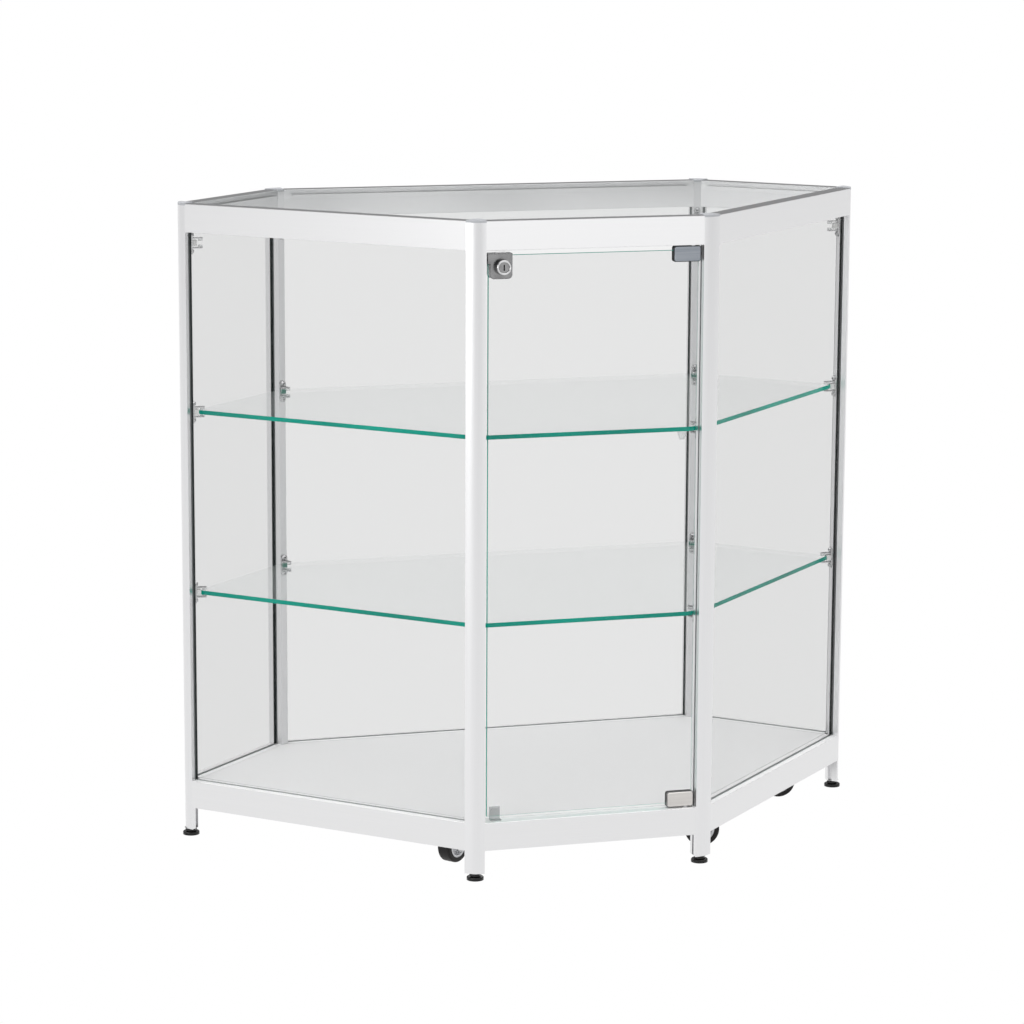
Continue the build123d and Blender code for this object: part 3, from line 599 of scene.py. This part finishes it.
def add_clip_recess_shade():
    """Dark crosses on the clip screws' heads: painted shade for the shade inside their cross recesses."""
    arm, half = 1.7, 0.45
    cross = [(arm, -half), (arm, half), (half, half), (half, arm), (-half, arm), (-half, half),
             (-arm, half), (-arm, -half), (-half, -half), (-half, -arm), (half, -arm), (half, -half)]
    # painted shade: a flat dark cross on each screw head for the shade in its recess
    recess = prism(cross, shrunk(cross, RECESS_CORE), 0, RECESS_DEPTH)
    shapes = []
    for index, corner in enumerate(CORNERS):
        into = bisector(index)
        across = (-into.y, into.x, 0)
        place = corner + into * (flat_distance(index) + CLIP_HEAD_FROM_FLAT)
        for middle in CLIP_HEIGHTS:
            for height in (middle + CLIP_SCREW_SPACING / 2, middle - CLIP_SCREW_SPACING / 2):
                shapes.append((recess, frame_at((place.x, place.y, height), (into.x, into.y, 0), across)))
    add_piece("clip_screw_recess_shade", shapes, "dark", "case", smooth=False)


def add_clamp_details():
    """Rubber liners between the clamps and the glass, those on the bottom clamp painted paler as light, and
    socket screws on the inner side with flat dark hexagons in their heads as painted shade for the sockets.
    """
    low, high = box_mm("hinge_clamps")
    middle = (low + high) / 2
    liner = prism(rounded_rectangle(*LINER_OUTER), rounded_rectangle(*LINER_INNER), *LINER_SPAN)
    head = lathe([(1.5, 0), (3.2, 0), (3.2, 1.0), (2.8, 1.4), (1.5, 1.4)], 32)
    # painted shade: a flat dark hexagon at the bottom of each screw's socket
    socket = lathe([(0.2, 0), (1.6, 0), (1.6, 0.4), (0.2, 0.4)], 6)
    liners = {"upper": [], "lower": []}
    heads, sockets = [], []
    for which, height in (("upper", high.z - CLAMP_HALF_HEIGHT), ("lower", low.z + CLAMP_HALF_HEIGHT)):
        for out in (-1, 1):
            liners[which].append((liner, frame_at((middle.x, middle.y, height), (0, out, 0), (1, 0, 0))))
        for offset in CLAMP_SCREWS_FROM_MIDDLE:
            placement = frame_at((middle.x + offset, high.y, height), (0, 1, 0))
            heads.append((head, placement))
            sockets.append((socket, placement))
    add_piece("hinge_clamp_liners_upper", liners["upper"], "dark", "door")
    # the bottom clamp's liners take the paler look: painted light on the same dark rubber
    add_piece("hinge_clamp_liners_lower", liners["lower"], "liner", "door")
    add_piece("hinge_clamp_screws", heads, "zinc", "door")
    add_piece("hinge_clamp_socket_shade", sockets, "dark", "door")


def add_lock_details():
    """Bright ring around the plug, a dark filling in the keyway as painted shade, and the housing's grub
    screws.
    """
    low, high = box_mm("lock_body")
    plug_low, _ = box_mm("lock_plug")
    plug_x = plug_low.x + PLUG_RADIUS
    ring = lathe([(7.3, 0), (9.9, 0), (9.9, 0.3), (9.3, 0.8), (7.8, 0.8), (7.3, 0.4)])
    ring_place = frame_at((plug_x, low.y - RING_CLEARANCE, LOCK_Z), (0, -1, 0))
    add_piece("lock_bezel", [(ring, ring_place)], "bezel", "door")
    outer = [(0.85, -3.9), (0.85, -1.0), (0.35, -0.6), (0.35, 0.9), (0.85, 1.3), (0.85, 3.9),
             (-0.85, 3.9), (-0.85, 2.2), (-0.4, 1.8), (-0.4, -1.9), (-0.85, -2.3), (-0.85, -3.9)]
    # painted shade: a dark filling shaped like the keyway, for the shade inside it
    keyway_shade_shape = prism(outer, shrunk(outer, RECESS_CORE), 0, KEYWAY_DEPTH)
    keyway_shade_place = frame_at((plug_x, plug_low.y + KEYWAY_BOTTOM, LOCK_Z), (0, -1, 0))
    add_piece("keyway_painted_shade", [(keyway_shade_shape, keyway_shade_place)], "dark", "lock_plug", smooth=False)
    screw = lathe([(1.1, 0), (2.6, 0), (2.6, 0.5), (2.2, 0.8), (1.1, 0.8)], 28)
    middle = (low + high) / 2
    screws = [(screw, frame_at((middle.x + shift, high.y, middle.z), (0, 1, 0)))
              for shift in GRUB_SCREWS_FROM_MIDDLE]
    add_piece("lock_grub_screws", screws, "zinc", "door")


def add_foot_details():
    """Hexagons for levelling the feet and threaded bushes under the posts."""
    hexagon = lathe([(6.05, 5.2), (7.8, 5.2), (8.3, 5.6), (8.3, 8.0), (7.8, 8.4), (6.05, 8.4)], 6)
    bush = lathe([(6.5, 9.0), (8.6, 9.0), (9.2, 9.5), (9.2, 9.98), (6.5, 9.98)], 32)
    bushes = []
    for name in CORNER_NAMES:
        centre = middle_mm(f"foot_{name}")
        below = upright_at(centre.x, centre.y)
        add_piece(f"foot_hexagon_{name}", [(hexagon, below)], "foot", f"foot_{name}")
        bushes.append((bush, below))
    add_piece("foot_bushes", bushes, "zinc", "case")


def add_caster_details():
    """Axle nuts, ball races, screws under the mounting plates and rings on the wheels."""
    nut = lathe([(0.3, 0), (4.8, 0), (5.2, 0.3), (5.2, 2.2), (4.6, 2.8), (0.3, 2.8)], 6)
    race = lathe([(5.0, 60.6), (11.5, 60.6), (12.3, 61.2), (12.3, 62.2), (11.6, 62.5), (12.3, 62.8),
                  (12.3, 63.9), (11.5, 64.45), (5.0, 64.45)])
    screw = lathe([(0.3, 0), (3.0, 0), (2.9, -0.7), (2.1, -1.4), (0.3, -1.6)], 24)
    ring = lathe([(10.4, 3.05), (12.4, 3.05), (12.2, 3.7), (10.6, 3.7)])
    races, screws = [], []
    for name, heading in CASTER_HEADINGS.items():
        wheel = middle_mm(f"caster_hub_{name}")
        turn = math.radians(heading)
        trail = Vector((math.cos(turn), math.sin(turn), 0))
        axle = Vector((math.sin(turn), -math.cos(turn), 0))
        swivel = wheel - trail * CASTER_TRAIL
        nut_place = frame_at(wheel + axle * AXLE_NUT_SEAT, axle)
        add_piece(f"caster_nut_{name}", [(nut, nut_place)], "zinc", f"caster_{name}")
        rings = [(ring, frame_at(wheel, axle)), (ring, frame_at(wheel, -axle))]
        add_piece(f"hub_rings_{name}", rings, "zinc", f"wheel_{name}")
        races.append((race, upright_at(swivel.x, swivel.y)))
        for dx in PLATE_SCREW_OFFSETS:
            for dy in PLATE_SCREW_OFFSETS:
                screws.append((screw, upright_at(swivel.x + dx, swivel.y + dy, PLATE_UNDERSIDE_Z)))
    add_piece("caster_races", races, "zinc", "case")
    add_piece("caster_plate_screws", screws, "clip", "case")


def add_floor():
    half = FLOOR_HALF
    corners = [(-half, -half, 0), (half, -half, 0), (half, half, 0), (-half, half, 0)]
    mesh = bpy.data.meshes.new("floor")
    mesh.from_pydata(corners, [], [(0, 1, 2, 3)])
    floor = bpy.data.objects.new("floor", mesh)
    bpy.context.scene.collection.objects.link(floor)
    look = Look("floor_white", Base_Color=(0.0, 0.0, 0.0, 1), Roughness=0.9, Specular_IOR_Level=0.0,
                Emission_Color=(1, 1, 1, 1), Emission_Strength=1.0)
    mesh.materials.append(look.material)


make_camera()
make_world()
add_light("key", KEY_PLACE, KEY_POWER)
add_light("front", FRONT_PLACE, FRONT_POWER)
add_floor()
looks = {**make_metals(), **make_panes(), **make_mouldings()}
dress_nodes()
add_beads()
add_glazing_strips()
add_clip_recess_shade()
add_clamp_details()
add_lock_details()
add_foot_details()
add_caster_details()
bpy.context.scene.view_settings.view_transform = "Standard"
